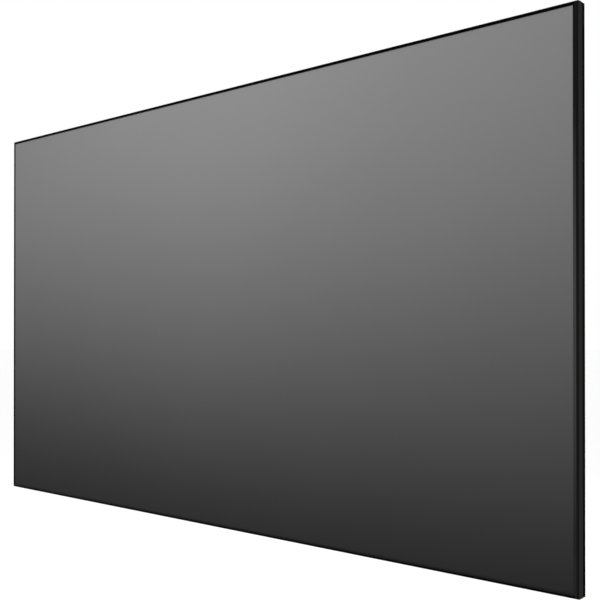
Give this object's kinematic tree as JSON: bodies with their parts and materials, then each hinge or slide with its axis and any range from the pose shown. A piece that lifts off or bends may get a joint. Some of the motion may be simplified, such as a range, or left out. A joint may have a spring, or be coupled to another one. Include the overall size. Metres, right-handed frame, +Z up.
{
  "type": "projector screen",
  "caption": "Fixed-frame wall projector screen with a dark grey light-rejecting cloth stretched over a hollow aluminium frame and a very slim black bezel.",
  "frame": {"origin": "middle of the whole screen: half its width, depth and height", "axes": "+X to the viewer's right along the long side, +Y back to the wall, +Z up; the picture face looks along -Y"},
  "size_m": [2.234, 0.037, 1.265],
  "materials": {
    "cloth": "dark grey coated screen cloth with a fine satin grain, black on its back",
    "trim": "black anodised, satin",
    "rail": "mill finish extrusion with faint draw lines",
    "plate": "zinc plated",
    "screw": "black oxide",
    "spring": "bright spring steel",
    "bar": "black anodised, matt",
    "plug": "moulded black",
    "bracket": "black powder coat"
  },
  "bodies": {
    "root": {"screen_cloth": "cloth", "trim_top_left": "trim", "trim_top_right": "trim", "trim_right": "trim", "trim_bottom_right": "trim", "trim_bottom_left": "trim", "trim_left": "trim", "rail_top_left": "rail", "rail_top_right": "rail", "rail_right": "rail", "rail_bottom_right": "rail", "rail_bottom_left": "rail", "rail_left": "rail", "corner_plate_top_left": "plate", "corner_plate_top_right": "plate", "corner_plate_bottom_right": "plate", "corner_plate_bottom_left": "plate", "corner_screw_top_left_1": "screw", "corner_screw_top_left_2": "screw", "corner_screw_top_left_3": "screw", "corner_screw_top_left_4": "screw", "corner_screw_top_right_1": "screw", "corner_screw_top_right_2": "screw", "corner_screw_top_right_3": "screw", "corner_screw_top_right_4": "screw", "corner_screw_bottom_right_1": "screw", "corner_screw_bottom_right_2": "screw", "corner_screw_bottom_right_3": "screw", "corner_screw_bottom_right_4": "screw", "corner_screw_bottom_left_1": "screw", "corner_screw_bottom_left_2": "screw", "corner_screw_bottom_left_3": "screw", "corner_screw_bottom_left_4": "screw", "splice_plate_top": "plate", "splice_plate_bottom": "plate", "splice_screw_top_1": "screw", "splice_screw_top_2": "screw", "splice_screw_top_3": "screw", "splice_screw_top_4": "screw", "splice_screw_bottom_1": "screw", "splice_screw_bottom_2": "screw", "splice_screw_bottom_3": "screw", "splice_screw_bottom_4": "screw", "tension_rod_top": "spring", "tension_rod_right": "spring", "tension_rod_bottom": "spring", "tension_rod_left": "spring", "support_bar_left": "bar", "support_bar_right": "bar", "support_plug_left_top": "plug", "support_plug_left_bottom": "plug", "support_plug_right_top": "plug", "support_plug_right_bottom": "plug", "wall_bracket_top_left": "bracket", "wall_bracket_top_right": "bracket", "wall_bracket_bottom_right": "bracket", "wall_bracket_bottom_left": "bracket"}
  },
  "joints": []
}
